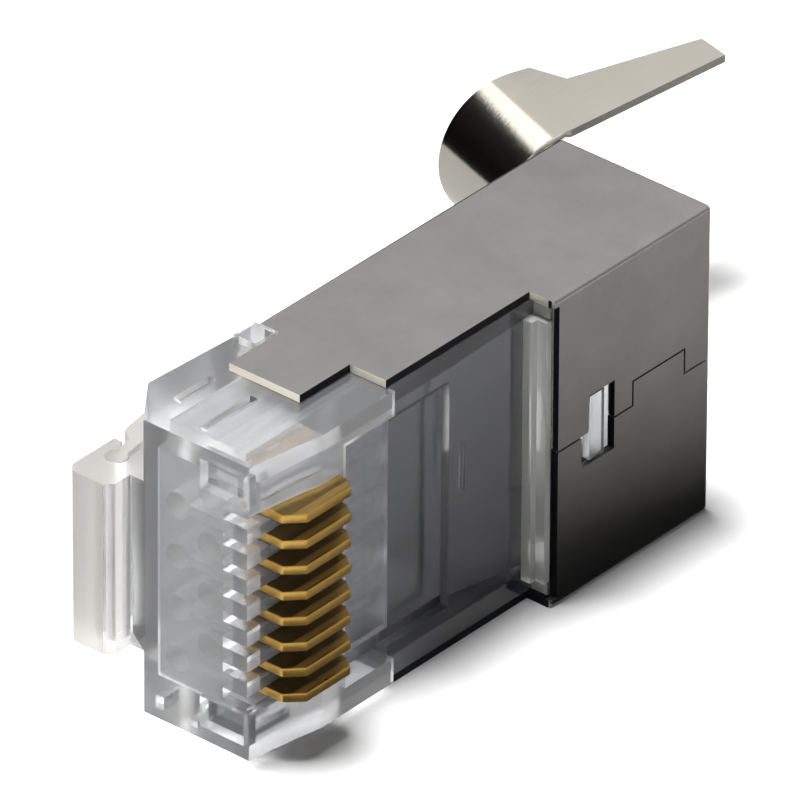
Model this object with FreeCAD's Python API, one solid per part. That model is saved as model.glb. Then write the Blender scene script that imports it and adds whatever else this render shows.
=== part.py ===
import FreeCAD, Part
import math
import os

from FreeCAD import Vector

# Shielded 8-contact modular plug for thick four-pair cable, lying on one of its narrow sides.
# Lengths are in millimetres.  X runs from the latch side to the contact side, Y from the nose
# back to the cable, Z across the plug's width.  Places are worked out from the lower front
# corner of the nose, and to_row_frame() then moves each piece so that the origin lies on the
# resting side, in the middle of the nose's height.

# Nose and housing
nose_width = 11.68
nose_height = 6.6
housing_length = 20.2
front_wall = 1.2
lead_chamfer_depth = 1.4
lead_chamfer_length = 1.85
latch_taper = 0.3
front_drop = 0.5
facet_drop = 0.25
facet_break = 1.85
facet_end = 3.2

# Contacts and their slots
contact_count = 8
contact_pitch = 1.02
contact_thickness = 0.35
contact_stand = 0.7
contact_front = 1.0
contact_length = 3.2
contact_foot = 0.05
contact_nose_drop = 0.6
contact_nose_length = 0.6
contact_heel_drop = 0.5
contact_heel_length = 0.35
tine_count = 2
tine_width = 0.6
tine_point = 0.4
tine_gap = 0.05
slot_fit = 0.03
rib_drop = 0.6
contact_bay_margin = 0.15

# Wire guide and conductor rows
guide_fit = 0.05
guide_width = 9.0
guide_bottom = 1.6
guide_height = 3.25
guide_length = 6.6
row_margin = 0.8
row_spacing = 1.4
bore_radius = 0.5
guide_lead_in = 0.2

# Panel, notch, window, grooves, pockets and flange
block_gap = 0.15
block_length = 2.52
block_step = 0.3
block_margin = 1.0
notch_width = 1.1
notch_depth = 0.9
panel_drop = 0.3
window_length = 3.2
window_depth = 0.35
window_margin = 1.35
ridge_gap = 0.6
ridge_width = 0.1
ridge_length = 1.8
ridge_height = 0.12
flange_front = 13.95
flange_length = 0.55
flange_stand = 0.8
flange_step = 0.4
flange_margin = 0.6
pocket_depth = 0.45
pocket_low = 3.9
pocket_high = 5.85
pocket_length = 1.2
pocket_margin = 0.5
groove_width = 0.35
groove_depth = 0.25
groove_places = ((1.25, 1.7), (3.1, 0.9))
groove_rear = 3.5
lug_length = 1.05
lug_inset = 0.15

# Cable cavity
funnel_gap = 2.75
funnel_rise = 0.7
rear_wall = 0.62
rear_side_wall = 0.9

# Shield, folded from one sheet
sheet = 0.3
sheet_fit = 0.02
shield_low = 0.6
tongue_low = 1.57
tongue_high = 4.7
tongue_length = 2.6
plate_front = 6.8
plate_length = 7.5
box_step = 1.08
wall_gap = 0.1
wall_length = 8.1
fold_radius = 0.2
seam_width = 0.08
seam_tab_place = 3.95
seam_tab_length = 2.75
seam_tab_height = 0.98
hole_place = 1.24
hole_length = 1.74
hole_below = 1.25
hole_above = 1.5
hole_jog = 0.38
bump_fit = 0.1
bump_strip = 0.5
bump_drop = 0.05

# Strain-relief clip, bent outwards behind the shield's latch-side wall
clip_angle = 71.0
clip_bend_radius = 0.3
clip_root = 0.4
neck_width = 3.0
neck_flat = 1.2
neck_length = 4.45
saddle_radius = 2.55
saddle_width = 4.3
wing_near = 0.8
wing_shoulder = 1.56
wing_shoulder_across = 3.0
wing_tail_far = 2.95
wing_tail_near = 1.6
tail_length = 7.14
tail_slant = 0.13
lower_wing_length = 1.8
lower_wing_inset = 0.7

# Latch lever and the lip that carries it
lip_forward = 1.07
lip_drop = 1.12
lip_rise = 0.8
lip_back = 1.4
lip_round = 0.3
lip_root = 0.8
latch_width = 6.8
pivot_drop = 0.3
pivot_back = 0.6
bead_radius = 0.4
hinge_fit = 0.04
lever_rest_angle = 10.0
lever_press = 9.0
lever_neck = 0.45
lever_neck_length = 1.6
lever_gap = 0.1
mouth_steps = 3
lever_thick = 0.9
shoulder_place = 8.0
lever_length = 13.6
lever_tip_thick = 0.8
finger_width = 3.25
finger_rib_count = 3
finger_rib_pitch = 0.9
finger_rib_height = 0.25
lever_round = 0.25

# The row's origin lies this far behind the nose's front face
origin_back = 14.0

# How far a cutting block reaches past what it cuts
past = 1.0

# Places that follow from the sizes above
mid_width = nose_width / 2
guide_top = guide_bottom + guide_height
row_low = guide_bottom + row_margin
row_high = row_low + row_spacing
guide_front = front_wall + guide_fit
contact_top = nose_height + contact_stand
contact_base = guide_top + guide_fit + contact_foot
contact_rear = contact_front + contact_length
first_contact = mid_width - contact_pitch * (contact_count - 1) / 2
bay_half = contact_pitch * (contact_count - 1) / 2 + contact_thickness / 2 + contact_bay_margin
slot_width = contact_thickness + 2 * slot_fit
block_front = contact_rear + slot_fit + block_gap
block_rear = block_front + block_length
panel_height = nose_height - panel_drop
window_rear = block_rear + window_length
funnel_front = guide_front + guide_length + funnel_gap
funnel_opening = guide_top + guide_fit + funnel_rise
flange_rear = flange_front + flange_length
inside_low = shield_low + sheet + sheet_fit
plate_height = panel_height - sheet_fit
box_height = plate_height + box_step
bulk_top = box_height - sheet - guide_fit
wall_front = flange_rear + wall_gap
box_front = plate_front + plate_length
shield_rear = wall_front + wall_length
seam_tab_front = wall_front + seam_tab_place
seam_tab_rear = seam_tab_front + seam_tab_length
hole_front = wall_front + hole_place
hole_rear = hole_front + hole_length


def block(low, high):
    """A box between two corners."""
    return Part.makeBox(high[0] - low[0], high[1] - low[1], high[2] - low[2], Vector(*low))


def prism(outline, z_low, z_high):
    """A closed outline of (x, y) points, raised from z_low to z_high."""
    points = [Vector(x, y, z_low) for x, y in outline]
    face = Part.Face(Part.makePolygon(points + points[:1]))
    return face.extrude(Vector(0, 0, z_high - z_low))


def section(x_low, x_high, y, z_low, z_high):
    """A rectangular wire across the plug's length."""
    corners = [(x_low, z_low), (x_high, z_low), (x_high, z_high), (x_low, z_high)]
    points = [Vector(x, y, z) for x, z in corners]
    return Part.makePolygon(points + points[:1])


def turned(shape, angle, place):
    """The shape turned about Z at the origin, then moved to a place."""
    shape = shape.copy()
    shape.rotate(Vector(0, 0, 0), Vector(0, 0, 1), angle)
    shape.translate(place)
    return shape


def edges_where(shape, test):
    """The straight edges whose two ends both pass a test."""
    found = []
    for edge in shape.Edges:
        if len(edge.Vertexes) == 2 and all(test(v.Point) for v in edge.Vertexes):
            found.append(edge)
    return found


def near(value, target):
    """Whether two lengths are the same."""
    return abs(value - target) < 1e-4


def contact_z(index):
    """The middle of a contact across the plug's width."""
    return first_contact + contact_pitch * index


def row_of(index):
    """The height of a contact's conductor: the two rows take turns."""
    return row_low if index % 2 == 0 else row_high


# ---- Contacts ----------------------------------------------------------------------------

def tine(tip, middle):
    """The outline points of one piercing point, from its rear edge to its front edge."""
    half = tine_width / 2
    shank = tip + tine_point
    return [(contact_base, middle + half), (shank, middle + half), (tip, middle),
            (shank, middle - half), (contact_base, middle - half)]


def make_contact(index):
    """One stamped blade: a contact edge that slopes at both ends, and piercing points below."""
    tip = row_of(index) + bore_radius + tine_gap
    outline = [(contact_base, contact_front),
               (contact_top - contact_nose_drop, contact_front),
               (contact_top, contact_front + contact_nose_length),
               (contact_top, contact_rear - contact_heel_length),
               (contact_top - contact_heel_drop, contact_rear),
               (contact_base, contact_rear)]
    step = (contact_rear - guide_front) / tine_count
    for number in range(tine_count):
        outline += tine(tip, contact_rear - step * (number + 0.5))
    z_low = contact_z(index) - contact_thickness / 2
    return prism(outline, z_low, z_low + contact_thickness)


def contact_slot(index, bottom, front, rear, top):
    """The room for one blade between two heights."""
    z_low = contact_z(index) - slot_width / 2
    return block((bottom, front, z_low), (top, rear, z_low + slot_width))


# ---- Wire guide --------------------------------------------------------------------------

def make_wire_guide():
    """The insert that holds the eight conductors in two staggered rows."""
    rear = guide_front + guide_length
    half = guide_width / 2
    guide = block((guide_bottom, guide_front, mid_width - half), (guide_top, rear, mid_width + half))
    cuts = []
    for index in range(contact_count):
        centre = Vector(row_of(index), guide_front - past, contact_z(index))
        cuts.append(Part.makeCylinder(bore_radius, guide_length + 2 * past, centre, Vector(0, 1, 0)))
        mouth = Vector(row_of(index), rear - guide_lead_in, contact_z(index))
        cuts.append(Part.makeCone(bore_radius, bore_radius + guide_lead_in, guide_lead_in, mouth,
                                  Vector(0, 1, 0)))
        cuts.append(contact_slot(index, row_of(index), guide_front + slot_fit,
                                 contact_rear + slot_fit, guide_top + past))
    return guide.cut(cuts)


# ---- Housing -----------------------------------------------------------------------------

def housing_body():
    """The moulding's outer form: nose, panel, flange and the rear part inside the shield."""
    step = plate_front - sheet_fit
    nose = prism([(0, lead_chamfer_length), (lead_chamfer_depth, 0),
                  (nose_height - front_drop, 0), (nose_height - facet_drop, facet_break),
                  (nose_height, facet_end),
                  (nose_height, block_rear), (panel_height, block_rear),
                  (panel_height, flange_rear), (inside_low, flange_rear),
                  (inside_low, step), (latch_taper, step)], 0, nose_width)
    half_way = flange_front + flange_length / 2
    flange = prism([(panel_height - past, flange_front), (panel_height + flange_step, flange_front),
                    (panel_height + flange_step, half_way),
                    (panel_height + flange_stand, half_way), (panel_height + flange_stand, flange_rear),
                    (panel_height - past, flange_rear)],
                   flange_margin, nose_width - flange_margin)
    rear = block((inside_low, flange_rear, 0), (bulk_top, housing_length, nose_width))
    lugs = block((latch_taper + lug_inset, step - lug_length, -sheet),
                 (tongue_low - lug_inset, step, nose_width + sheet))
    ridge = block((panel_height - past, window_rear + ridge_gap, mid_width),
                  (panel_height + ridge_height, window_rear + ridge_gap + ridge_width,
                   mid_width + ridge_length))
    pieces = [flange, rear, lugs, ridge, latch_lip(), hole_bump()]
    return nose.fuse(pieces).removeSplitter()


def latch_lip():
    """The lip ahead of and below the nose, in which the latch lever is hinged."""
    half = latch_width / 2
    inner = lead_chamfer_depth + lip_root
    outline = [(lip_rise, 0), (lip_rise, lip_round - lip_forward),
               (lip_rise - lip_round, -lip_forward), (lip_round - lip_drop, -lip_forward),
               (-lip_drop, lip_round - lip_forward), (-lip_drop, lip_back), (inner, lip_back),
               (inner, 0)]
    return prism(outline, mid_width - half, mid_width + half)


def hole_bump():
    """The raised pad that shows in the hole of the shield."""
    middle = mid_width + sheet_fit
    return block((bulk_top - past, hole_front + hole_jog + bump_fit, middle - hole_below + bump_fit),
                 (box_height - bump_drop, hole_rear - bump_strip, middle + hole_above - bump_fit))


def cavity():
    """The guide's chamber, the funnel behind it and the cable chamber."""
    half = guide_width / 2 + guide_fit
    z_low = mid_width - half
    z_high = mid_width + half
    x_low = guide_bottom - guide_fit
    x_high = guide_top + guide_fit
    chamber = block((x_low, front_wall, z_low), (x_high, funnel_front, z_high))
    mouth_low = inside_low + rear_wall
    funnel = Part.makeLoft([section(x_low, x_high, funnel_front, z_low, z_high),
                            section(mouth_low, funnel_opening, flange_rear,
                                    rear_side_wall, nose_width - rear_side_wall)], True)
    rear = block((mouth_low, flange_rear, rear_side_wall),
                 (bulk_top - rear_wall, housing_length + past, nose_width - rear_side_wall))
    return [chamber, funnel, rear]


def contact_bay():
    """The sunk bay in which the contacts stand, down to the tops of the ribs between them."""
    return block((nose_height - rib_drop, -past, mid_width - bay_half),
                 (nose_height + past, contact_rear + slot_fit, mid_width + bay_half))


def contact_slots():
    """The slots of the blades, open to the front and down into the guide's chamber."""
    cuts = []
    for index in range(contact_count):
        cuts.append(contact_slot(index, contact_base - slot_fit, -past,
                                 contact_rear + slot_fit, nose_height + past))
        cuts.append(contact_slot(index, guide_top, front_wall, contact_rear + slot_fit,
                                 contact_base))
    return cuts


def surface_cuts():
    """The step behind the contacts, corner notches, window, front pockets and side grooves."""
    top = nose_height + past
    cuts = [block((nose_height - block_step, block_front, block_margin),
                  (top, block_rear, nose_width - block_margin)),
            block((panel_height - window_depth, block_rear, window_margin),
                  (top, window_rear, nose_width - window_margin)),
            block((nose_height - notch_depth, block_front, block_margin),
                  (top, block_rear, block_margin + notch_width))]
    for side in (0, 1):
        deep = side * (nose_width - groove_depth)
        for place, front in groove_places:
            cuts.append(block((place, front, deep),
                              (place + groove_width, groove_rear, deep + groove_depth)))
        edge = pocket_margin + side * (nose_width - 2 * pocket_margin - pocket_length)
        cuts.append(block((pocket_low, -past, edge), (pocket_high, pocket_depth, edge + pocket_length)))
    return cuts


def hinge_cuts():
    """The bead's groove in the lip and the mouth that the lever's neck swings in."""
    z_low = mid_width - latch_width / 2 - past
    height = latch_width + 2 * past
    pivot = Vector(-pivot_drop, pivot_back, z_low)
    cuts = [Part.makeCylinder(bead_radius + hinge_fit, height, pivot)]
    half = lever_neck / 2 + lever_gap
    for step in range(mouth_steps + 1):
        angle = lever_rest_angle - lever_press * step / mouth_steps
        mouth = block((-half, 0, 0), (half, lip_back + lip_drop, height))
        cuts.append(turned(mouth, angle, pivot))
    return cuts


def make_housing():
    """The clear moulding."""
    body = housing_body()
    cuts = cavity() + [contact_bay()] + contact_slots() + surface_cuts() + hinge_cuts()
    return body.cut(cuts).removeSplitter()


# ---- Latch lever -------------------------------------------------------------------------

def make_latch_lever():
    """The sprung lever: bead, thin neck, wide locking part with its two shoulders, finger end."""
    half = latch_width / 2
    bead = Part.makeCylinder(bead_radius, latch_width, Vector(0, 0, -half))
    inner = lever_neck / 2
    outer = inner - lever_thick
    tip = inner - lever_tip_thick
    wide = prism([(inner, 0), (inner, shoulder_place), (outer, shoulder_place),
                  (outer, lever_neck_length), (-inner, lever_neck_length - lever_thick / 2),
                  (-inner, 0)], -half, half)
    finger = prism([(inner, shoulder_place - past), (inner, lever_length - lever_round),
                    (inner - lever_round, lever_length), (tip, lever_length),
                    (outer, shoulder_place + past), (outer, shoulder_place - past)],
                   -finger_width / 2, finger_width / 2)
    pieces = [wide, finger]
    for number in range(finger_rib_count):
        rear = lever_length - finger_rib_pitch * (number + 0.5)
        pieces.append(block((tip - finger_rib_height, rear - finger_rib_pitch / 2, -finger_width / 2),
                            (tip + lever_round, rear, finger_width / 2)))
    lever = bead.fuse(pieces).removeSplitter()
    return turned(lever, lever_rest_angle, Vector(-pivot_drop, pivot_back, mid_width))


# ---- Shield ------------------------------------------------------------------------------

def shield_outline():
    """The side plate's outline, seen across the plug's width."""
    tongue_front = plate_front - tongue_length
    return [(tongue_low, tongue_front), (tongue_high, tongue_front), (tongue_high, plate_front),
            (plate_height, plate_front), (plate_height, box_front), (box_height, box_front),
            (box_height, shield_rear), (shield_low, shield_rear), (shield_low, plate_front),
            (tongue_low, plate_front)]


def seam_cuts():
    """The joint line of the contact-side wall, with its interlocking tab, and the hole."""
    line = mid_width + sheet_fit
    low = box_height - sheet - past / 2
    high = box_height + past
    half = seam_width / 2
    raised = line + seam_tab_height
    runs = [(wall_front - past, seam_tab_front, line, line), (seam_tab_front, seam_tab_front, line, raised),
            (seam_tab_front, seam_tab_rear, raised, raised), (seam_tab_rear, seam_tab_rear, line, raised),
            (seam_tab_rear, shield_rear + past, line, line)]
    cuts = [block((low, front - half, bottom - half), (high, rear + half, top + half))
            for front, rear, bottom, top in runs]
    cuts.append(block((low, hole_front, line - hole_below), (high, hole_rear, line)))
    cuts.append(block((low, hole_front + hole_jog, line - half), (high, hole_rear, line + hole_above)))
    return cuts


def shield_box():
    """The two side plates, the latch-side wall and the joined contact-side wall."""
    z_low = -sheet_fit - sheet
    z_high = nose_width + sheet_fit + sheet
    outer = prism(shield_outline(), z_low, z_high)
    folds = edges_where(outer, lambda p: (near(p.x, shield_low) or near(p.x, box_height))
                        and (near(p.z, z_low) or near(p.z, z_high)))
    long_folds = [edge for edge in folds if edge.Length > past * 2]
    outer = outer.makeFillet(min(fold_radius, box_step / 2), long_folds)
    inside = block((shield_low + sheet, -past, -sheet_fit),
                   (box_height - sheet, shield_rear + past, nose_width + sheet_fit))
    lead = block((box_height - sheet - past / 2, box_front - past, -sheet_fit),
                 (box_height + past, wall_front, nose_width + sheet_fit))
    return outer.cut([inside, lead] + seam_cuts())


def arc_strip(along):
    """The neck's curved end section: a strip of the saddle's ring, as wide as the neck."""
    centre_x = sheet + saddle_radius
    half_angle = math.asin(neck_width / 2 / (saddle_radius + sheet))

    def on_ring(radius, angle):
        return Vector(centre_x - radius * math.cos(angle), along, mid_width + radius * math.sin(angle))

    outer = saddle_radius + sheet
    points = [on_ring(outer, -half_angle), on_ring(outer, half_angle),
              on_ring(saddle_radius, half_angle), on_ring(saddle_radius, -half_angle)]
    edges = [Part.Arc(points[0], on_ring(outer, 0), points[1]).toShape(),
             Part.LineSegment(points[1], points[2]).toShape(),
             Part.Arc(points[2], on_ring(saddle_radius, 0), points[3]).toShape(),
             Part.LineSegment(points[3], points[0]).toShape()]
    return Part.Wire(edges)


def saddle():
    """The half ring that takes the cable's jacket."""
    centre = Vector(sheet + saddle_radius, neck_length, mid_width)
    axis = Vector(0, 1, 0)
    ring = Part.makeCylinder(saddle_radius + sheet, saddle_width, centre, axis)
    ring = ring.cut(Part.makeCylinder(saddle_radius, saddle_width, centre, axis))
    reach = saddle_radius + sheet + past
    away = block((centre.x, neck_length - past, mid_width - reach),
                 (centre.x + reach, neck_length + saddle_width + past, mid_width + reach))
    return ring.cut(away)


def wings():
    """The two wings of the saddle: the upper one runs out into a long narrow tail."""
    start = sheet + saddle_radius
    near_edge = neck_length
    far_edge = neck_length + saddle_width
    upper = [(start, near_edge), (start + tail_length, near_edge + wing_tail_near),
             (start + tail_length - tail_slant, near_edge + wing_tail_far),
             (start + wing_shoulder, near_edge + wing_shoulder_across),
             (start + wing_near, far_edge), (start, far_edge)]
    lower = [(start, near_edge), (start + lower_wing_length, near_edge + lower_wing_inset),
             (start + lower_wing_length, far_edge - lower_wing_inset), (start, far_edge)]
    upper_low = mid_width + saddle_radius
    lower_low = mid_width - saddle_radius - sheet
    return [prism(upper, upper_low, upper_low + sheet), prism(lower, lower_low, lower_low + sheet)]


def neck():
    """The flat start of the clip and its change into the saddle's curve."""
    half = neck_width / 2
    flat = block((0, 0, mid_width - half), (sheet, neck_flat, mid_width + half))
    start = section(0, sheet, neck_flat, mid_width - half, mid_width + half)
    change = Part.makeLoft([start, arc_strip(neck_length)], True)
    return [flat, change]


def clip_bend():
    """The strip behind the latch-side wall and the bend that turns it outwards."""
    half = neck_width / 2
    low = mid_width - half
    high = mid_width + half
    bend_start = shield_rear + clip_root
    strip = Part.Face(section(shield_low, shield_low + sheet, bend_start, low, high))
    centre = Vector(shield_low - clip_bend_radius, bend_start, 0)
    bend = strip.revolve(centre, Vector(0, 0, 1), clip_angle)
    root = block((shield_low, shield_rear - past, low), (shield_low + sheet, bend_start, high))
    return root.fuse(bend)


def clip_place():
    """Where the clip's own frame starts: the end of the bend, on its outer face."""
    turn = math.radians(clip_angle)
    return Vector(shield_low + clip_bend_radius * (math.cos(turn) - 1),
                  shield_rear + clip_root + clip_bend_radius * math.sin(turn), 0)


def make_shield():
    """The whole shield: box, plates, tongues and clip are one folded sheet."""
    clip = saddle().fuse(neck() + wings())
    clip = turned(clip, clip_angle, clip_place())
    return shield_box().fuse([clip_bend(), clip]).removeSplitter()


# ---- Files -------------------------------------------------------------------------------

def to_row_frame(shape):
    """The piece moved from the nose's corner to the row's origin."""
    shape = shape.copy()
    shape.translate(Vector(-nose_height / 2, -origin_back, sheet + sheet_fit))
    return shape


def main():
    """Build every piece and write one file for each."""
    pieces = {"housing": make_housing(), "wire_guide": make_wire_guide(),
              "latch_lever": make_latch_lever(), "shield": make_shield()}
    for index in range(contact_count):
        pieces[f"contact_{index + 1}"] = make_contact(index)
    os.makedirs("parts", exist_ok=True)
    for name, shape in pieces.items():
        shape = to_row_frame(shape)
        print(name, "solids", len(shape.Solids), "valid", shape.isValid(), "mm3", round(shape.Volume, 3))
        shape.exportStep(f"parts/{name}.step")


main()
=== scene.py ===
"""Looks of a shielded modular plug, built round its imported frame.

The frame holds the plug's pieces at their real size and place.  This script gives each of them
its rounded edges and its finish, and sets the plug on a pale floor in plain studio light.
Lengths are in metres, or in millimetres where a name ends in _mm, in the frame's own axes:
X from the latch side to the contact side, Y from the nose back to the cable, Z up across the
plug's width.
"""
from __future__ import annotations

import logging
import math
from dataclasses import dataclass, field
from enum import Enum

import bpy
from mathutils import Matrix, Vector

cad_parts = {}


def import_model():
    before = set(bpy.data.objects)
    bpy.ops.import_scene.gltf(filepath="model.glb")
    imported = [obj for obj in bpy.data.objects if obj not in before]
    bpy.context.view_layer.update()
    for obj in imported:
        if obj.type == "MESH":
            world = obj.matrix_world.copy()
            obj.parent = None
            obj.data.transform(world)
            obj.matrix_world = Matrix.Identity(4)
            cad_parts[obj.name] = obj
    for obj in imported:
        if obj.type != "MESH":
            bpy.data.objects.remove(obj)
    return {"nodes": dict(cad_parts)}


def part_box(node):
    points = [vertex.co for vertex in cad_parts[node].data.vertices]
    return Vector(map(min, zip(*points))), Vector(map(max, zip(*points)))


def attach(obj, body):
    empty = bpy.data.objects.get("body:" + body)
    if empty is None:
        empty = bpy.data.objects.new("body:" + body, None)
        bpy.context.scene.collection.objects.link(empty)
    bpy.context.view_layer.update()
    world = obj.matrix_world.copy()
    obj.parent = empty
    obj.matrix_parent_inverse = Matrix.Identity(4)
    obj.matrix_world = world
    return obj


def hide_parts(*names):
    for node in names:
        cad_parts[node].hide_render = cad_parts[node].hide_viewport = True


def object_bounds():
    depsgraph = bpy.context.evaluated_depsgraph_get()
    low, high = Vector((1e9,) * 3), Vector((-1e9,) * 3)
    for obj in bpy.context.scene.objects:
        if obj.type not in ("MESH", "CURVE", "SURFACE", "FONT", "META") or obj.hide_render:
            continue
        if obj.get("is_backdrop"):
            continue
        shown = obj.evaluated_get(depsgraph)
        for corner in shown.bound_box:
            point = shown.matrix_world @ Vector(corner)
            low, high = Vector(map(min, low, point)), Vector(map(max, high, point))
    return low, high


LOG = logging.getLogger("plug")
MM = 0.001
# Corners closer than this are one corner, and faces closer in slope than this are one face.
MERGE_MM = 0.0005
FLAT_DEG = 0.3

Colour = tuple[float, float, float, float]
Face = bpy.types.MeshPolygon
Nodes = dict[str, bpy.types.Object]
Settings = dict[str | int, object]
Links = dict[str | int, bpy.types.NodeSocket]


class Body(Enum):
    """The frame's two rigid bodies."""

    PLUG = "plug"
    LATCH = "latch"


class Slot(Enum):
    """The record's material slots."""

    HOUSING = "clear_housing"
    INSERT = "clear_insert"
    SHIELD = "shield_metal"
    CONTACT = "contact_gold"


class Skin(Enum):
    """The shield's finishes by their place on its piece, painted highlight and painted shade among
    them.
    """

    OUTSIDE = 0
    EDGE = 1
    INSIDE = 2
    CLIP = 3


# ---- Small tools -------------------------------------------------------------------------

def srgb(code: str) -> Colour:
    """Turn an sRGB hex colour into a linear one.

    Args:
        code: The colour, such as "#9d9a94".

    Returns:
        Linear red, green, blue and an alpha of 1.
    """
    parts = [int(code[place:place + 2], 16) / 255 for place in (1, 3, 5)]
    linear = [p / 12.92 if p <= 0.04045 else ((p + 0.055) / 1.055) ** 2.4 for p in parts]
    return (linear[0], linear[1], linear[2], 1.0)


def direction(azimuth_deg: float, elevation_deg: float) -> Vector:
    """Give the way from the plug to a place in the studio.

    Args:
        azimuth_deg: Degrees round from straight ahead of the nose, towards the contact side.
        elevation_deg: Degrees above the floor.

    Returns:
        A vector of length 1.
    """
    azimuth, elevation = math.radians(azimuth_deg), math.radians(elevation_deg)
    return Vector((math.sin(azimuth) * math.cos(elevation),
                   -math.cos(azimuth) * math.cos(elevation), math.sin(elevation)))


def per_metre(size_mm: float) -> float:
    """Give the pattern scale, in repeats a metre, of a pattern with this size in millimetres."""
    return 1.0 / (size_mm * MM)


def add_node(tree: bpy.types.NodeTree, kind: str, settings: Settings | None = None,
             links: Links | None = None) -> bpy.types.Node:
    """Add a shader node with its settings and links.

    Args:
        tree: The node tree that the node goes into.
        kind: The node's Blender type.
        settings: Values by an input socket's name or number, or by a node property's name.
        links: Source sockets by the name or number of the input that each one feeds.

    Returns:
        The new node.
    """
    node = tree.nodes.new(kind)
    for name, value in (settings or {}).items():
        if hasattr(node, str(name)):
            setattr(node, str(name), value)
        else:
            node.inputs[name].default_value = value
    for name, source in (links or {}).items():
        tree.links.new(source, node.inputs[name])
    return node


def new_material(name: str) -> tuple[bpy.types.Material, bpy.types.NodeTree, bpy.types.Node]:
    """Start a material.

    Args:
        name: The material's name.

    Returns:
        The material, its node tree and its Principled node.
    """
    material = bpy.data.materials.new(name)
    material.use_nodes = True
    tree = material.node_tree
    return material, tree, tree.nodes["Principled BSDF"]


def select_only(piece: bpy.types.Object) -> None:
    """Deselect everything, then select one piece and make it the active one.

    Args:
        piece: The piece that the next operator works on.
    """
    bpy.ops.object.select_all(action="DESELECT")
    piece.select_set(True)
    bpy.context.view_layer.objects.active = piece


def apply_modifier(piece: bpy.types.Object, kind: str, settings: dict[str, object]) -> None:
    """Add a modifier and apply it.

    Args:
        piece: The object to change.
        kind: The modifier's Blender type.
        settings: Values by property name.
    """
    select_only(piece)
    modifier = piece.modifiers.new(kind.lower(), kind)
    for name, value in settings.items():
        setattr(modifier, name, value)
    bpy.ops.object.modifier_apply(modifier=modifier.name)


def shell_of(source: bpy.types.Object, name: str) -> bpy.types.Object:
    """Make a piece with a frame node's shape, as whole faces instead of loose triangles.

    Args:
        source: The frame node's own object, which stays as it is.
        name: The new piece's name.

    Returns:
        The new piece, at the origin, with no material.
    """
    piece = bpy.data.objects.new(name, source.data.copy())
    bpy.context.scene.collection.objects.link(piece)
    piece.data.materials.clear()
    select_only(piece)
    bpy.ops.object.mode_set(mode="EDIT")
    bpy.ops.mesh.select_all(action="SELECT")
    bpy.ops.mesh.customdata_custom_splitnormals_clear()
    bpy.ops.mesh.remove_doubles(threshold=MERGE_MM * MM)
    bpy.ops.mesh.dissolve_limited(angle_limit=math.radians(FLAT_DEG))
    bpy.ops.object.mode_set(mode="OBJECT")
    return piece


def score(piece: bpy.types.Object, depth: float, reach_mm: float) -> None:
    """Cut a piece's faces at one place along X, so that each side can have its own finish.

    Args:
        piece: The piece.
        depth: The cut's place along X.
        reach_mm: How close to the cut a corner may lie and still be taken as on it.
    """
    select_only(piece)
    bpy.ops.object.mode_set(mode="EDIT")
    bpy.ops.mesh.select_all(action="SELECT")
    bpy.ops.mesh.bisect(plane_co=(depth, 0, 0), plane_no=(1, 0, 0), threshold=reach_mm * MM)
    bpy.ops.object.mode_set(mode="OBJECT")


def round_edges(piece: bpy.types.Object, width_mm: float, sharper_than: float,
                segments: int = 2) -> None:
    """Round a piece's sharp edges and shade it smooth, with its flat faces kept flat.

    Args:
        piece: The object to round.
        width_mm: The width of the rounding.
        sharper_than: The least angle of an edge that is rounded, in degrees.
        segments: How many faces make up each rounding.
    """
    apply_modifier(piece, "BEVEL", {
        "width": width_mm * MM, "segments": segments, "limit_method": "ANGLE",
        "angle_limit": math.radians(sharper_than), "use_clamp_overlap": True,
        "miter_outer": "MITER_ARC"})
    select_only(piece)
    bpy.ops.object.shade_smooth()
    apply_modifier(piece, "WEIGHTED_NORMAL", {"mode": "FACE_AREA", "weight": 100})


def settle(piece: bpy.types.Object, node: str, body: Body) -> None:
    """Put a finished piece into the frame in place of a node, and report it.

    Args:
        piece: The finished piece.
        node: The frame node that it stands for.
        body: The rigid body that it moves with.
    """
    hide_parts(node)
    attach(piece, body.value)
    LOG.info("%s rides on %s, %d faces", piece.name, body.value, len(piece.data.polygons))


# ---- Finishes ----------------------------------------------------------------------------

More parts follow.
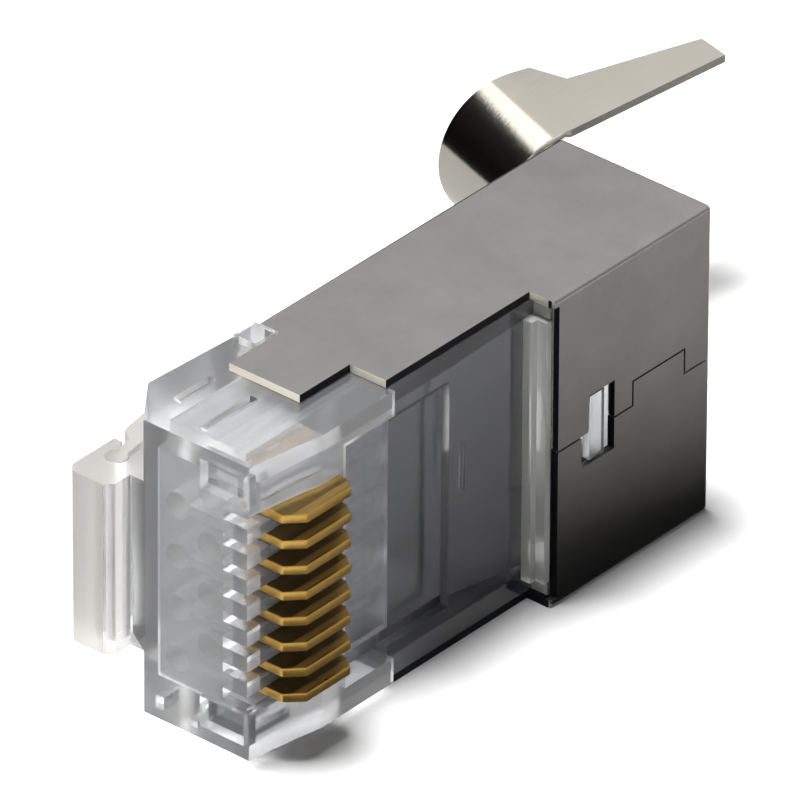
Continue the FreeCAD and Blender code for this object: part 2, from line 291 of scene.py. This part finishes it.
@dataclass(frozen=True)
class NickelSheet:
    """Nickel-plated rolled sheet: satin, a warm mid grey, clouded, with rolling lines along Y.

    The rolling lines and the grain are drawn coarser than the real ones, so that they show.
    """

    name: str = "nickel_sheet"
    colour: str = "#a9a7a5"
    worn: str = "#8b8987"
    roughness: float = 0.27
    roughness_spread: float = 0.1
    cloud_mm: float = 2.5
    cloud_detail: float = 6.0
    cloud_roughness: float = 0.65
    grain_mm: float = 0.09
    rolling_mm: float = 0.16
    rolling_detail: float = 3.0
    rolling_stretch: float = 0.04
    bump_mm: float = 0.0012

    def material(self) -> bpy.types.Material:
        """Build the finish's material.

        Returns:
            The material.
        """
        material, tree, skin = new_material(self.name)
        place = add_node(tree, "ShaderNodeTexCoord").outputs["Object"]
        clouds = add_node(tree, "ShaderNodeTexNoise",
                          {"Scale": per_metre(self.cloud_mm), "Detail": self.cloud_detail,
                           "Roughness": self.cloud_roughness}, {"Vector": place})
        colour = add_node(tree, "ShaderNodeMix",
                          {"data_type": "RGBA", 6: srgb(self.worn), 7: srgb(self.colour)},
                          {0: clouds.outputs["Fac"]})
        along = add_node(tree, "ShaderNodeMapping", {"Scale": (1.0, self.rolling_stretch, 1.0)},
                         {"Vector": place})
        rolling = add_node(tree, "ShaderNodeTexNoise",
                           {"Scale": per_metre(self.rolling_mm), "Detail": self.rolling_detail},
                           {"Vector": along.outputs["Vector"]})
        rough = add_node(tree, "ShaderNodeMapRange",
                         {"To Min": self.roughness, "To Max": self.roughness + self.roughness_spread},
                         {"Value": rolling.outputs["Fac"]})
        grain = add_node(tree, "ShaderNodeTexNoise", {"Scale": per_metre(self.grain_mm)},
                         {"Vector": place})
        height = add_node(tree, "ShaderNodeMath", {"operation": "ADD"},
                          {0: rolling.outputs["Fac"], 1: grain.outputs["Fac"]})
        bump = add_node(tree, "ShaderNodeBump", {"Distance": self.bump_mm * MM},
                        {"Height": height.outputs[0]})
        skin.inputs["Metallic"].default_value = 1.0
        tree.links.new(colour.outputs[2], skin.inputs["Base Color"])
        tree.links.new(rough.outputs["Result"], skin.inputs["Roughness"])
        tree.links.new(bump.outputs["Normal"], skin.inputs["Normal"])
        return material


@dataclass(frozen=True)
class CutEdge:
    """The sheet's sheared edge: burnished by the die and painted near white as a highlight, drag
    marks across it.
    """

    colour: str = "#fffae8"
    roughness: float = 0.45
    drag_mm: float = 0.06
    bump_mm: float = 0.002

    def material(self) -> bpy.types.Material:
        """Build the finish's material.

        Returns:
            The material.
        """
        material, tree, skin = new_material("cut_edge_painted_highlight")
        place = add_node(tree, "ShaderNodeTexCoord").outputs["Object"]
        drag = add_node(tree, "ShaderNodeTexNoise", {"Scale": per_metre(self.drag_mm)},
                        {"Vector": place})
        bump = add_node(tree, "ShaderNodeBump", {"Distance": self.bump_mm * MM},
                        {"Height": drag.outputs["Fac"]})
        skin.inputs["Base Color"].default_value = srgb(self.colour)
        skin.inputs["Metallic"].default_value = 1.0
        skin.inputs["Roughness"].default_value = self.roughness
        tree.links.new(bump.outputs["Normal"], skin.inputs["Normal"])
        return material


@dataclass(frozen=True)
class PaintedShadeSheet:
    """The sheet's inner face and its shaded sheared edges: painted nearly black as shade, oily stains
    in the roughness.
    """

    colour: str = "#202024"
    roughness: float = 0.5
    stained_roughness: float = 0.7
    stain_mm: float = 1.5

    def material(self) -> bpy.types.Material:
        """Build the finish's material.

        Returns:
            The material.
        """
        material, tree, skin = new_material("painted_shade_sheet")
        place = add_node(tree, "ShaderNodeTexCoord").outputs["Object"]
        stains = add_node(tree, "ShaderNodeTexNoise", {"Scale": per_metre(self.stain_mm)},
                          {"Vector": place})
        rough = add_node(tree, "ShaderNodeMapRange",
                         {"To Min": self.roughness, "To Max": self.stained_roughness},
                         {"Value": stains.outputs["Fac"]})
        skin.inputs["Base Color"].default_value = srgb(self.colour)
        skin.inputs["Metallic"].default_value = 1.0
        tree.links.new(rough.outputs["Result"], skin.inputs["Roughness"])
        return material


@dataclass(frozen=True)
class GoldPlate:
    """Hard gold over nickel on a stamped blade: deep orange yellow, a little uneven.

    The stamping marks are drawn coarser than the real ones, so that they show.
    """

    colour: str = "#c29c52"
    thin: str = "#a58240"
    roughness: float = 0.24
    roughness_spread: float = 0.12
    patch_mm: float = 0.5
    patch_detail: float = 3.0
    stamping_mm: float = 0.05
    bump_mm: float = 0.0015

    def material(self) -> bpy.types.Material:
        """Build the finish's material.

        Returns:
            The material.
        """
        material, tree, skin = new_material("gold_plate")
        place = add_node(tree, "ShaderNodeTexCoord").outputs["Object"]
        patches = add_node(tree, "ShaderNodeTexNoise",
                           {"Scale": per_metre(self.patch_mm), "Detail": self.patch_detail},
                           {"Vector": place})
        colour = add_node(tree, "ShaderNodeMix",
                          {"data_type": "RGBA", 6: srgb(self.thin), 7: srgb(self.colour)},
                          {0: patches.outputs["Fac"]})
        rough = add_node(tree, "ShaderNodeMapRange",
                         {"To Min": self.roughness, "To Max": self.roughness + self.roughness_spread},
                         {"Value": patches.outputs["Fac"]})
        marks = add_node(tree, "ShaderNodeTexNoise", {"Scale": per_metre(self.stamping_mm)},
                         {"Vector": place})
        bump = add_node(tree, "ShaderNodeBump", {"Distance": self.bump_mm * MM},
                        {"Height": marks.outputs["Fac"]})
        skin.inputs["Metallic"].default_value = 1.0
        tree.links.new(colour.outputs[2], skin.inputs["Base Color"])
        tree.links.new(rough.outputs["Result"], skin.inputs["Roughness"])
        tree.links.new(bump.outputs["Normal"], skin.inputs["Normal"])
        return material


@dataclass(frozen=True)
class ClearMoulding:
    """Polycarbonate moulded clear: water-white and glossy, with soft waves left by the flow.

    Lamp light goes straight through it, a little dimmed, so its shadow on the floor is pale.
    """

    name: str = "clear_polycarbonate"
    colour: str = "#d9dadc"
    roughness: float = 0.14
    clearness: float = 0.9
    shade: str = "#eaeaea"
    ior: float = 1.585
    wave_mm: float = 1.1
    bump_mm: float = 0.002

    def material(self) -> bpy.types.Material:
        """Build the finish's material.

        Returns:
            The material.
        """
        material, tree, skin = new_material(self.name)
        place = add_node(tree, "ShaderNodeTexCoord").outputs["Object"]
        waves = add_node(tree, "ShaderNodeTexNoise", {"Scale": per_metre(self.wave_mm)},
                         {"Vector": place})
        bump = add_node(tree, "ShaderNodeBump", {"Distance": self.bump_mm * MM},
                        {"Height": waves.outputs["Fac"]})
        skin.inputs["Base Color"].default_value = srgb(self.colour)
        skin.inputs["Roughness"].default_value = self.roughness
        skin.inputs["IOR"].default_value = self.ior
        skin.inputs["Transmission Weight"].default_value = self.clearness
        tree.links.new(bump.outputs["Normal"], skin.inputs["Normal"])
        rays = add_node(tree, "ShaderNodeLightPath")
        through = add_node(tree, "ShaderNodeBsdfTransparent", {"Color": srgb(self.shade)})
        both = add_node(tree, "ShaderNodeMixShader", None,
                        {0: rays.outputs["Is Shadow Ray"], 1: skin.outputs[0],
                         2: through.outputs[0]})
        tree.links.new(both.outputs[0], tree.nodes["Material Output"].inputs["Surface"])
        return material


# The same plastic, as the mould's other surfaces and its thicker places leave it.
CLEAR = ClearMoulding()
# The mould's spark-eroded half, on the latch side: white and soft.
FROSTED = ClearMoulding("frosted_polycarbonate", "#d8d6d2", roughness=0.42, clearness=0.8)
# The flange, hazier and paler than the rest: painted light, standing in for light carried through the
# bar.
PALE_FLANGE_PAINTED_LIGHT = ClearMoulding("flange_painted_light", "#e4e4e0", roughness=0.18, clearness=0.65)
# The shoulder just behind the blades: a little paler than the nose round it.
CLOUDY = ClearMoulding("cloudy_polycarbonate", "#dedede", roughness=0.16, clearness=0.7)
# The window panel, from the mould's polished face: it shows the dark box behind it.
POLISHED = ClearMoulding("polished_polycarbonate", "#ceced6", roughness=0.1, clearness=0.98)
# The insert, softer than the housing, and its bores, left dull by the pins that form them.
INSERT = ClearMoulding("clear_insert", "#dcdddf", roughness=0.2, clearness=0.9)
BORED = ClearMoulding("dull_bore", "#a2a2a0", roughness=0.45, clearness=0.6)
# The same nickel where it is bent, and, tinted by thin gold, on the blades' sides and roots; the
# roots are darker, painted shade deep in the slots.
BENT_SHEET = NickelSheet("bent_sheet", "#c9c5ba", "#bcb8ad", roughness=0.1, roughness_spread=0.06)
BLADE_SIDE = NickelSheet("blade_side", "#b8995f", "#a4854e", roughness=0.55, roughness_spread=0.1)
SHADED_BLADE_ROOT = NickelSheet("blade_root_painted_shade", "#957b46", "#7c6539", roughness=0.35, roughness_spread=0.1)


# ---- The plug's pieces -------------------------------------------------------------------

@dataclass
class Shield:
    """The folded sheet: box, side plates with their tongues, and the strain-relief clip.

    Its inner side, painted nearly black as shade, is what lies more than a wall's thickness inside
    the box, short of its rear.
    """

    node: str = "shield"
    sheet: NickelSheet = NickelSheet()
    edge: CutEdge = CutEdge()
    # Painted shade: the inner faces and the shaded sheared edges are coloured nearly black.
    inside: PaintedShadeSheet = PaintedShadeSheet()
    bent: NickelSheet = BENT_SHEET
    edge_round_mm: float = 0.04
    sharp_deg: float = 40.0
    facing: float = 0.9
    wall_mm: float = 0.25
    cut_reach_mm: float = 0.001
    latch_side_mm: float = 2.5
    rear_mm: float = 8.5
    clip_start_mm: float = 8.75

    def inside_box(self, place: Vector, low: Vector, high: Vector) -> bool:
        """Say whether a point lies between the walls, on the sheet's inner side.

        Args:
            place: The point.
            low: The shield's low corner.
            high: The shield's high corner.

        Returns:
            True if it does.
        """
        wall = self.wall_mm * MM
        return (-self.latch_side_mm * MM < place.x < high.x - wall
                and low.z + wall < place.z < high.z - wall and place.y < self.rear_mm * MM)

    def finish_of(self, face: Face, low: Vector, high: Vector) -> Skin:
        """Say which finish a face has.

        The upper plate's front edges are burnished and painted bright as a highlight.  The
        contact-side wall's own edges, the plates' long edges and the lower plate's edges are painted
        dark as shade.

        Args:
            face: The face.
            low: The shield's low corner.
            high: The shield's high corner.

        Returns:
            The finish.
        """
        middle = (low + high) / 2
        in_wall = face.center.x > high.x - self.wall_mm * MM
        on_clip = face.center.y > self.clip_start_mm * MM
        # Lit and shaded copies of one edge: a painted highlight on the upper plate's front edges,
        # painted shade on the rest.
        if face.normal.y < -self.facing and face.center.y < middle.y:
            upper = face.center.z > middle.z
            return Skin.EDGE if upper and not in_wall else Skin.INSIDE
        long_edge = face.normal.x > self.facing and not in_wall and not on_clip
        if long_edge or self.inside_box(face.center, low, high):
            return Skin.INSIDE
        return Skin.CLIP if on_clip else Skin.OUTSIDE

    def build(self, nodes: Nodes) -> None:
        """Model the shield and put it in the place of its node.

        Args:
            nodes: The frame's nodes by name.
        """
        piece = shell_of(nodes[self.node], "shield_sheet")
        low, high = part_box(self.node)
        score(piece, high.x - self.wall_mm * MM, self.cut_reach_mm)
        for finish in (self.sheet, self.edge, self.inside, self.bent):
            piece.data.materials.append(finish.material())
        for face in piece.data.polygons:
            face.material_index = self.finish_of(face, low, high).value
        round_edges(piece, self.edge_round_mm, self.sharp_deg)
        settle(piece, self.node, Body.PLUG)


@dataclass
class ContactSet:
    """The eight stamped blades: gold on the crowns and edges, thin and dull down their sides.

    A blade's sides change finish at two lines, which are measured down from its crown; below the
    second they are darker, painted shade.
    """

    prefix: str = "contact_"
    plate: GoldPlate = GoldPlate()
    side: NickelSheet = BLADE_SIDE
    root: NickelSheet = SHADED_BLADE_ROOT
    gold_mm: float = 0.12
    side_mm: float = 0.4
    cut_reach_mm: float = 0.1
    edge_round_mm: float = 0.05
    round_segments: int = 3
    sharp_deg: float = 25.0
    facing: float = 0.9

    def build(self, nodes: Nodes) -> None:
        """Model the blades and put them in the places of their nodes.

        Args:
            nodes: The frame's nodes by name.
        """
        finishes = [finish.material() for finish in (self.plate, self.side, self.root)]
        for node in sorted(name for name in nodes if name.startswith(self.prefix)):
            piece = shell_of(nodes[node], node.replace(self.prefix, "blade_"))
            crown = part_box(node)[1].x
            lines = [crown - self.gold_mm * MM, crown - self.side_mm * MM]
            for line in lines:
                score(piece, line, self.cut_reach_mm)
            for finish in finishes:
                piece.data.materials.append(finish)
            for face in piece.data.polygons:
                if abs(face.normal.z) > self.facing:
                    # The deepest strip of each side takes the darker root finish: painted shade in
                    # the slot.
                    face.material_index = sum(face.center.x < line for line in lines)
            round_edges(piece, self.edge_round_mm, self.sharp_deg, self.round_segments)
            settle(piece, node, Body.PLUG)


@dataclass(frozen=True)
class Zone:
    """A stretch of a moulding's contact side with a finish of its own.

    It runs between two distances behind the moulding's front end, above a place along X, and
    takes the faces that look along X at least as much as `facing` says.
    """

    finish: ClearMoulding
    first_mm: float
    last_mm: float
    above_mm: float
    facing: float = 0.0

    def holds(self, face: Face, front: float) -> bool:
        """Say whether a face lies in the zone.

        Args:
            face: The face.
            front: The place along Y of the moulding's front end.

        Returns:
            True if the face's middle is in the stretch and the face looks the right way.
        """
        behind = (face.center.y - front) / MM
        return (self.first_mm < behind < self.last_mm and face.center.x > self.above_mm * MM
                and abs(face.normal.x) >= self.facing)


@dataclass
class Moulding:
    """One clear moulding: its edges are rounded as a mould leaves them.

    Its dull finish is for what lies beyond the face on the latch side and, in an insert, for
    the walls of the bores, which lie deeper than `skin_mm` and face hardly at all along Y.
    """

    node: str
    name: str
    body: Body
    slot: Slot
    plain: ClearMoulding
    dull: ClearMoulding
    zones: tuple[Zone, ...] = ()
    dull_below_mm: float = -3.35
    skin_mm: float = 0.1
    facing_along: float = 0.2
    edge_round_mm: float = 0.05
    sharp_deg: float = 30.0

    def in_bore(self, face: Face, low: Vector, high: Vector) -> bool:
        """Say whether a face is the wall of a hole that runs along the piece, inside its box.

        Args:
            face: The face.
            low: The moulding's low corner.
            high: The moulding's high corner.

        Returns:
            True if it is.
        """
        skin = self.skin_mm * MM
        return (low.x + skin < face.center.x < high.x - skin
                and low.z + skin < face.center.z < high.z - skin
                and abs(face.normal.y) < self.facing_along)

    def finish_of(self, face: Face, low: Vector, high: Vector) -> ClearMoulding:
        """Say which finish a face has.

        Args:
            face: The face.
            low: The moulding's low corner.
            high: The moulding's high corner.

        Returns:
            The finish.
        """
        for zone in self.zones:
            if zone.holds(face, low.y):
                return zone.finish
        beyond = face.center.x < self.dull_below_mm * MM
        bored = self.slot is Slot.INSERT and self.in_bore(face, low, high)
        return self.dull if beyond or bored else self.plain

    def build(self, nodes: Nodes) -> None:
        """Model the moulding and put it in the place of its node.

        Args:
            nodes: The frame's nodes by name.
        """
        piece = shell_of(nodes[self.node], self.name)
        finishes = [self.plain, self.dull, *(zone.finish for zone in self.zones)]
        for finish in finishes:
            piece.data.materials.append(finish.material())
        low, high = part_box(self.node)
        for face in piece.data.polygons:
            face.material_index = finishes.index(self.finish_of(face, low, high))
        round_edges(piece, self.edge_round_mm, self.sharp_deg)
        settle(piece, self.node, self.body)


# Along the housing: the flange, the window panel ahead of it, and the shoulder by the blades.
HOUSING_ZONES = (
    # The flange's paleness is painted light.
    Zone(PALE_FLANGE_PAINTED_LIGHT, first_mm=14.95, last_mm=15.6, above_mm=3.0),
    Zone(POLISHED, first_mm=8.0, last_mm=14.95, above_mm=1.9, facing=0.9),
    Zone(CLOUDY, first_mm=5.0, last_mm=7.0, above_mm=3.2, facing=0.9),
)
MOULDINGS = (
    Moulding("housing", "nose_moulding", Body.PLUG, Slot.HOUSING, CLEAR, FROSTED, HOUSING_ZONES),
    Moulding("wire_guide", "guide_moulding", Body.PLUG, Slot.INSERT, INSERT, BORED),
    Moulding("latch_lever", "lever_moulding", Body.LATCH, Slot.HOUSING, CLEAR, FROSTED),
)


# ---- The studio --------------------------------------------------------------------------

@dataclass
class Camera:
    """A long lens that looks at the plug from ahead of its contact side and above."""

    azimuth_deg: float = 40.282
    elevation_deg: float = 32.135
    roll_deg: float = 0.326
    distance: float = 0.7
    lens_mm: float = 926.0
    sensor_mm: float = 36.0
    near_share: float = 0.01
    far_share: float = 20.0
    aim: Vector = field(default_factory=lambda: Vector((-0.3, -2.0, 6.32)) * MM)
    shift_right_mm: float = -0.371
    shift_up_mm: float = 1.194

    def build(self) -> None:
        """Add the camera and make it the scene's own."""
        back = direction(self.azimuth_deg, self.elevation_deg)
        level = Vector((0.0, 0.0, 1.0)).cross(back).normalized()
        roll = math.radians(self.roll_deg)
        right = level * math.cos(roll) + back.cross(level) * math.sin(roll)
        up = back.cross(right)
        middle = self.aim + (right * self.shift_right_mm + up * self.shift_up_mm) * MM
        turn = Matrix((right, up, back)).transposed().to_4x4()
        lens = bpy.data.cameras.new("camera")
        lens.lens = self.lens_mm
        lens.sensor_width = self.sensor_mm
        lens.clip_start = self.distance * self.near_share
        lens.clip_end = self.distance * self.far_share
        camera = bpy.data.objects.new("camera", lens)
        camera.matrix_world = Matrix.Translation(middle + back * self.distance) @ turn
        bpy.context.scene.collection.objects.link(camera)
        bpy.context.scene.camera = camera


@dataclass
class Lamp:
    """One soft lamp: a round panel that faces the plug.  Its own bright disc is never mirrored."""

    name: str
    azimuth_deg: float
    elevation_deg: float
    distance: float
    size: float
    watts: float
    colour: str = "#ffffff"

    def build(self, aim: Vector) -> None:
        """Add the lamp.

        Args:
            aim: The point that it faces.
        """
        away = direction(self.azimuth_deg, self.elevation_deg)
        light = bpy.data.lights.new(self.name, "AREA")
        light.shape = "DISK"
        light.size = self.size
        light.energy = self.watts
        light.color = srgb(self.colour)[:3]
        lamp = bpy.data.objects.new(self.name, light)
        lamp.matrix_world = (Matrix.Translation(aim + away * self.distance)
                             @ away.to_track_quat("Z", "Y").to_matrix().to_4x4())
        lamp.visible_glossy = False
        bpy.context.scene.collection.objects.link(lamp)


@dataclass
class Card:
    """One studio card: a painted reflection, a flat glowing or dark sheet that only shiny metal and
    plastic mirror.

    It lies on the floor, or stands across X where it is taller than it is wide.  Its brightness
    goes evenly from the first value to the last one between two distances, which are measured
    along `fade_along` from the origin.
    """

    name: str
    low_mm: tuple[float, float, float]
    high_mm: tuple[float, float, float]
    first: float
    last: float
    fade_mm: tuple[float, float] = (0.0, 1.0)
    fade_along: tuple[float, float, float] = (1.0, 0.0, 0.0)
    through_plastic: bool = False

    def build(self) -> None:
        """Add the card."""
        low, high = Vector(self.low_mm) * MM, Vector(self.high_mm) * MM
        span = high - low
        bpy.ops.object.select_all(action="DESELECT")
        bpy.ops.mesh.primitive_plane_add(size=1.0, location=(0, 0, 0))
        card = bpy.context.object
        card.name = self.name
        bpy.ops.object.mode_set(mode="EDIT")
        bpy.ops.mesh.select_all(action="SELECT")
        bpy.ops.transform.resize(value=(max(span.x, span.z), span.y, 1.0))
        if span.z > span.x:
            bpy.ops.transform.rotate(value=math.radians(90), orient_axis="Y",
                                     center_override=(0, 0, 0))
        bpy.ops.transform.translate(value=(low + high) / 2)
        bpy.ops.object.mode_set(mode="OBJECT")
        card.data.materials.append(self.material())
        card.visible_camera = False
        card.visible_diffuse = False
        card.visible_shadow = False
        card.visible_transmission = self.through_plastic
        card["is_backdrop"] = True

    def material(self) -> bpy.types.Material:
        """Make a black sheet that gives off its own light, seen only as a painted reflection.

        Returns:
            The material.
        """
        material, tree, skin = new_material(self.name)
        place = add_node(tree, "ShaderNodeTexCoord").outputs["Object"]
        along = add_node(tree, "ShaderNodeVectorMath", {"operation": "DOT_PRODUCT"}, {0: place})
        along.inputs[1].default_value = self.fade_along
        light = add_node(tree, "ShaderNodeMapRange",
                         {"From Min": self.fade_mm[0] * MM, "From Max": self.fade_mm[1] * MM,
                          "To Min": self.first, "To Max": self.last},
                         {"Value": along.outputs["Value"]})
        skin.inputs["Base Color"].default_value = (0.0, 0.0, 0.0, 1.0)
        skin.inputs["Specular IOR Level"].default_value = 0.0
        skin.inputs["Emission Color"].default_value = (1.0, 1.0, 1.0, 1.0)
        tree.links.new(light.outputs["Result"], skin.inputs["Emission Strength"])
        return material


# What the bright metal mirrors, all painted reflections.  Beside the contact wall a card paints the
# floor's shadow into the reflection, dark at the plug's foot and paler outwards, round the nose's
# corner too, and the wall's top mirrors the card beyond.  The glowing paper ahead paints a highlight
# on the sheared edges and the one on the latch side on the bent clip, whose bend also shows the black
# card and, above it, the bright one.
CARDS = (
    Card("painted_shadow_card_contact_side", (4.1, -1.0, 0.05), (34.0, 60.0, 0.05), first=0.004,
         last=0.58, fade_mm=(7.5, 17.5), fade_along=(1.0, 0.25, 0.0)),
    Card("painted_shadow_card_corner", (4.1, -22.0, 0.05), (34.0, -1.0, 0.05), first=0.1, last=0.54,
         fade_mm=(5.0, 14.0)),
    Card("studio_card_beyond", (60.0, -10.0, 0.0), (60.0, 160.0, 60.0), first=0.42, last=0.42),
    Card("studio_card_ahead", (-45.0, -60.0, 0.05), (4.0, -16.0, 0.05), first=1.5, last=1.5,
         through_plastic=True),
    Card("studio_card_latch_side", (-45.0, -16.0, 0.05), (-12.0, 60.0, 0.05), first=0.75,
         last=0.75),
    Card("studio_card_black", (-45.0, -30.0, 0.0), (-45.0, 80.0, 39.0), first=0.004, last=0.004),
    Card("studio_card_bright", (-60.0, -80.0, 40.0), (-60.0, 40.0, 86.0), first=2.2, last=2.2),
)


@dataclass
class Studio:
    """Pale floor, white surround, one soft lamp, cards for the metal to mirror, and the camera."""

    floor_size: float = 1.6
    floor_colour: str = "#f2f2f2"
    floor_lift: float = 0.04
    floor_gap_mm: float = 0.002
    surround: float = 0.03
    bounces: int = 24
    camera: Camera = field(default_factory=Camera)
    lamp: Lamp = field(default_factory=lambda: Lamp(
        "key", azimuth_deg=-60.0, elevation_deg=82.0, distance=0.35, size=0.12, watts=2.3))
    cards: tuple[Card, ...] = CARDS

    def build(self) -> None:
        """Set up the whole studio."""
        scene = bpy.context.scene
        scene.cycles.max_bounces = self.bounces
        scene.cycles.transmission_bounces = self.bounces
        scene.view_settings.view_transform = "Standard"
        self.lay_floor()
        self.light_surround()
        low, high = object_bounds()
        self.lamp.build((low + high) / 2)
        for card in self.cards:
            card.build()
        self.camera.build()

    def lay_floor(self) -> None:
        """Lay the floor under the plug."""
        low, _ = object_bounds()
        bpy.ops.object.select_all(action="DESELECT")
        bpy.ops.mesh.primitive_plane_add(size=self.floor_size, location=(0, 0, 0))
        floor = bpy.context.object
        floor.name = "studio_floor"
        bpy.ops.object.mode_set(mode="EDIT")
        bpy.ops.mesh.select_all(action="SELECT")
        bpy.ops.transform.translate(value=(0, 0, low.z - self.floor_gap_mm * MM))
        bpy.ops.object.mode_set(mode="OBJECT")
        floor.data.materials.append(self.floor_material())
        floor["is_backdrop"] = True

    def floor_material(self) -> bpy.types.Material:
        """Make matt white paper that stays white to the camera away from the shadow.

        Returns:
            The material.
        """
        material, tree, skin = new_material("floor_paper")
        skin.inputs["Base Color"].default_value = srgb(self.floor_colour)
        skin.inputs["Roughness"].default_value = 1.0
        skin.inputs["Specular IOR Level"].default_value = 0.0
        skin.inputs["Emission Color"].default_value = (1.0, 1.0, 1.0, 1.0)
        rays = add_node(tree, "ShaderNodeLightPath")
        lift = add_node(tree, "ShaderNodeMath", {"operation": "MULTIPLY", 1: self.floor_lift},
                        {0: rays.outputs["Is Camera Ray"]})
        tree.links.new(lift.outputs[0], skin.inputs["Emission Strength"])
        return material

    def light_surround(self) -> None:
        """Light the world: white to the camera, in metal and through plastic, softer as light.

        What a matt face has scattered once gets the softer light, whatever it meets next.
        """
        world = bpy.data.worlds.new("surround")
        world.use_nodes = True
        bpy.context.scene.world = world
        tree = world.node_tree
        rays = add_node(tree, "ShaderNodeLightPath")
        seen = add_node(tree, "ShaderNodeMath", {"operation": "ADD", "use_clamp": True},
                        {0: rays.outputs["Is Camera Ray"], 1: rays.outputs["Is Glossy Ray"]})
        seen = add_node(tree, "ShaderNodeMath", {"operation": "ADD", "use_clamp": True},
                        {0: seen.outputs[0], 1: rays.outputs["Is Transmission Ray"]})
        direct = add_node(tree, "ShaderNodeMath", {"operation": "LESS_THAN", 1: 0.5},
                          {0: rays.outputs["Diffuse Depth"]})
        seen = add_node(tree, "ShaderNodeMath", {"operation": "MULTIPLY"},
                        {0: seen.outputs[0], 1: direct.outputs[0]})
        strength = add_node(tree, "ShaderNodeMapRange",
                            {"To Min": self.surround, "To Max": 1.0}, {"Value": seen.outputs[0]})
        tree.links.new(strength.outputs["Result"], tree.nodes["Background"].inputs["Strength"])
        tree.nodes["Background"].inputs["Color"].default_value = (1.0, 1.0, 1.0, 1.0)


# ---- The whole ---------------------------------------------------------------------------


def main() -> None:
    """Build each sub-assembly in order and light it."""
    logging.basicConfig(level=logging.INFO, format="%(name)s: %(message)s")
    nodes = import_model()["nodes"]
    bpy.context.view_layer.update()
    Shield().build(nodes)
    for moulding in MOULDINGS:
        moulding.build(nodes)
    ContactSet().build(nodes)
    Studio().build()


if __name__ == "__main__":
    main()
